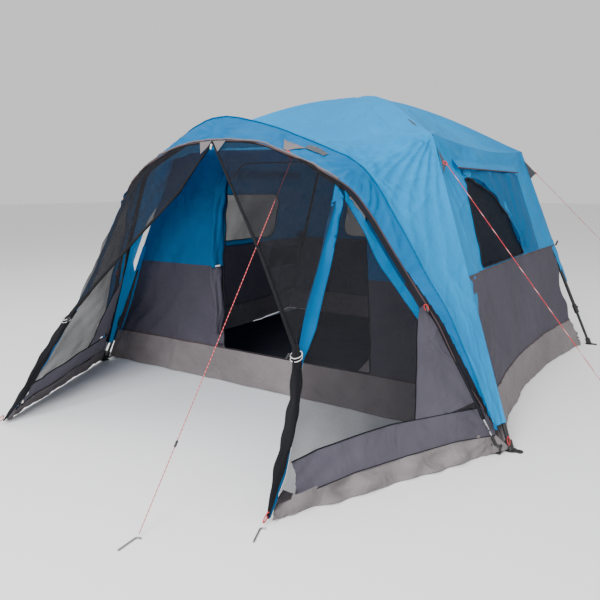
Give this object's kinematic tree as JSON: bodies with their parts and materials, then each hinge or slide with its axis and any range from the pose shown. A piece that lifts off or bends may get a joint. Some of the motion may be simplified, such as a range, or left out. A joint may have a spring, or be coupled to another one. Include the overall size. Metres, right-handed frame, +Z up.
{
  "type": "pop up tent",
  "caption": "Square cabin tent on a folding hub frame with telescopic legs, and a hooped front porch whose mesh screen is rolled back.",
  "frame": {"origin": "on the ground under the middle of the cabin floor, at the underside of the groundsheet", "axes": "+X to the right seen from the porch, +Y to the back, +Z up"},
  "size_m": [4.4749, 4.9793, 2.119],
  "materials": {
    "black_pole": "satin",
    "bare_tube": "satin",
    "black_nylon": "matte",
    "grey_nylon": "matte",
    "steel": "satin",
    "guy_cord": "woven",
    "floor_cloth": "matte",
    "mesh_net": "matte",
    "tent_cloth": "satin"
  },
  "bodies": {
    "base": {"groundsheet": "floor_cloth", "porch_sockets": "black_nylon", "ground_pegs": "steel", "guy_line_porch": "guy_cord", "guy_line_front_right": "guy_cord", "guy_line_back_right": "guy_cord"},
    "hub": {"hub": "black_nylon", "hub_pins": "steel", "hub_cap": "black_nylon"},
    "arm_front_right": {"roof_arm_front_right": "black_pole", "elbow_front_right": "black_nylon", "roof_front_right": "tent_cloth"},
    "upper_leg_front_right": {"upper_leg_front_right": "black_pole", "leg_collar_front_right": "black_nylon"},
    "lower_leg_front_right": {"lower_leg_front_right": "bare_tube", "foot_front_right": "black_nylon", "front_wall_right": "tent_cloth", "right_wall_front": "tent_cloth"},
    "button_front_right": {"release_button_front_right": "grey_nylon"},
    "arm_front_left": {"roof_arm_front_left": "black_pole", "elbow_front_left": "black_nylon", "roof_front_left": "tent_cloth"},
    "upper_leg_front_left": {"upper_leg_front_left": "black_pole", "leg_collar_front_left": "black_nylon"},
    "lower_leg_front_left": {"lower_leg_front_left": "bare_tube", "foot_front_left": "black_nylon", "front_wall_left": "tent_cloth", "left_wall_front": "tent_cloth", "door_flap": "tent_cloth"},
    "button_front_left": {"release_button_front_left": "grey_nylon"},
    "arm_back_right": {"roof_arm_back_right": "black_pole", "elbow_back_right": "black_nylon", "roof_back_right": "tent_cloth"},
    "upper_leg_back_right": {"upper_leg_back_right": "black_pole", "leg_collar_back_right": "black_nylon"},
    "lower_leg_back_right": {"lower_leg_back_right": "bare_tube", "foot_back_right": "black_nylon", "right_wall_back": "tent_cloth", "back_wall_right": "tent_cloth"},
    "button_back_right": {"release_button_back_right": "grey_nylon"},
    "arm_back_left": {"roof_arm_back_left": "black_pole", "elbow_back_left": "black_nylon", "roof_back_left": "tent_cloth"},
    "upper_leg_back_left": {"upper_leg_back_left": "black_pole", "leg_collar_back_left": "black_nylon"},
    "lower_leg_back_left": {"lower_leg_back_left": "bare_tube", "foot_back_left": "black_nylon", "left_wall_back": "tent_cloth", "back_wall_left": "tent_cloth"},
    "button_back_left": {"release_button_back_left": "grey_nylon"},
    "porch_hoop": {"porch_pole_right": "black_pole", "porch_pole_left": "black_pole", "porch_bow": "black_pole", "porch_ferrules": "steel", "porch_tips": "black_nylon", "porch_wall_right": "tent_cloth", "porch_wall_left": "tent_cloth", "porch_roof": "tent_cloth", "screen_roll_right": "mesh_net", "screen_roll_left": "mesh_net"}
  },
  "joints": [
    {"name": "hub_lower", "type": "slide", "parent": "base", "child": "hub", "axis": [0, 0, -1], "range_m": [0, 1.85], "deforming": ["guy_line_front_right", "guy_line_back_right"]},
    {"name": "arm_fold_front_right", "type": "hinge", "parent": "hub", "child": "arm_front_right", "pos_m": [0.09148, -0.09236, 2.075], "axis": [-0.7105, -0.7037, 0], "range_deg": [0, 104.7], "deforming": ["roof_front_right"]},
    {"name": "leg_fold_front_right", "type": "hinge", "parent": "arm_front_right", "child": "upper_leg_front_right", "pos_m": [1.035, -1.045, 1.672], "axis": [0.7347, 0.6582, 0.1643], "range_deg": [0, 126.8]},
    {"name": "leg_slide_front_right", "type": "slide", "parent": "upper_leg_front_right", "child": "lower_leg_front_right", "axis": [-0.3637, 0.1777, 0.9144], "range_m": [0, 0.26], "deforming": ["front_wall_right", "right_wall_front"]},
    {"name": "button_press_front_right", "type": "slide", "parent": "upper_leg_front_right", "child": "button_front_right", "axis": [-0.6147, 0.6918, -0.3789], "range_m": [0, 0.003], "stiffness_N_per_m": 900, "springref_m": -0.002},
    {"name": "arm_fold_front_left", "type": "hinge", "parent": "hub", "child": "arm_front_left", "pos_m": [-0.09148, -0.09236, 2.075], "axis": [-0.7105, 0.7037, 0], "range_deg": [0, 104.7], "deforming": ["roof_front_left"]},
    {"name": "leg_fold_front_left", "type": "hinge", "parent": "arm_front_left", "child": "upper_leg_front_left", "pos_m": [-1.035, -1.045, 1.672], "axis": [0.7347, -0.6582, -0.1643], "range_deg": [0, 126.8]},
    {"name": "leg_slide_front_left", "type": "slide", "parent": "upper_leg_front_left", "child": "lower_leg_front_left", "axis": [0.3637, 0.1777, 0.9144], "range_m": [0, 0.26], "deforming": ["front_wall_left", "left_wall_front", "door_flap"]},
    {"name": "button_press_front_left", "type": "slide", "parent": "upper_leg_front_left", "child": "button_front_left", "axis": [0.6147, 0.6918, -0.3789], "range_m": [0, 0.003], "stiffness_N_per_m": 900, "springref_m": -0.002},
    {"name": "arm_fold_back_right", "type": "hinge", "parent": "hub", "child": "arm_back_right", "pos_m": [0.09148, 0.09236, 2.075], "axis": [0.7105, -0.7037, 0], "range_deg": [0, 104.7], "deforming": ["roof_back_right"]},
    {"name": "leg_fold_back_right", "type": "hinge", "parent": "arm_back_right", "child": "upper_leg_back_right", "pos_m": [1.035, 1.045, 1.672], "axis": [-0.7347, 0.6582, -0.1643], "range_deg": [0, 126.8]},
    {"name": "leg_slide_back_right", "type": "slide", "parent": "upper_leg_back_right", "child": "lower_leg_back_right", "axis": [-0.3637, -0.1777, 0.9144], "range_m": [0, 0.26], "deforming": ["right_wall_back", "back_wall_right"]},
    {"name": "button_press_back_right", "type": "slide", "parent": "upper_leg_back_right", "child": "button_back_right", "axis": [-0.6147, -0.6918, -0.3789], "range_m": [0, 0.003], "stiffness_N_per_m": 900, "springref_m": -0.002},
    {"name": "arm_fold_back_left", "type": "hinge", "parent": "hub", "child": "arm_back_left", "pos_m": [-0.09148, 0.09236, 2.075], "axis": [0.7105, 0.7037, 0], "range_deg": [0, 104.7], "deforming": ["roof_back_left"]},
    {"name": "leg_fold_back_left", "type": "hinge", "parent": "arm_back_left", "child": "upper_leg_back_left", "pos_m": [-1.035, 1.045, 1.672], "axis": [-0.7347, -0.6582, 0.1643], "range_deg": [0, 126.8]},
    {"name": "leg_slide_back_left", "type": "slide", "parent": "upper_leg_back_left", "child": "lower_leg_back_left", "axis": [0.3637, -0.1777, 0.9144], "range_m": [0, 0.26], "deforming": ["left_wall_back", "back_wall_left"]},
    {"name": "button_press_back_left", "type": "slide", "parent": "upper_leg_back_left", "child": "button_back_left", "axis": [0.6147, -0.6918, -0.3789], "range_m": [0, 0.003], "stiffness_N_per_m": 900, "springref_m": -0.002},
    {"name": "porch_hoop_tilt", "type": "hinge", "parent": "base", "child": "porch_hoop", "pos_m": [0, -1.44, 0.034], "axis": [-1, 0, 0], "range_deg": [0, 24], "deforming": ["guy_line_porch", "porch_wall_right", "porch_wall_left", "porch_roof", "screen_roll_right", "screen_roll_left"]}
  ],
  "couplings": [
    {"joint": "arm_fold_front_right", "follows": "hub_lower", "rad_per_m": 0.98776},
    {"joint": "leg_fold_front_right", "follows": "hub_lower", "rad_per_m": 1.1963},
    {"joint": "leg_slide_front_right", "follows": "hub_lower", "ratio": 0.14054},
    {"joint": "arm_fold_front_left", "follows": "hub_lower", "rad_per_m": 0.98776},
    {"joint": "leg_fold_front_left", "follows": "hub_lower", "rad_per_m": 1.1963},
    {"joint": "leg_slide_front_left", "follows": "hub_lower", "ratio": 0.14054},
    {"joint": "arm_fold_back_right", "follows": "hub_lower", "rad_per_m": 0.98776},
    {"joint": "leg_fold_back_right", "follows": "hub_lower", "rad_per_m": 1.1963},
    {"joint": "leg_slide_back_right", "follows": "hub_lower", "ratio": 0.14054},
    {"joint": "arm_fold_back_left", "follows": "hub_lower", "rad_per_m": 0.98776},
    {"joint": "leg_fold_back_left", "follows": "hub_lower", "rad_per_m": 1.1963},
    {"joint": "leg_slide_back_left", "follows": "hub_lower", "ratio": 0.14054},
    {"joint": "porch_hoop_tilt", "follows": "hub_lower", "rad_per_m": 0.22642}
  ]
}
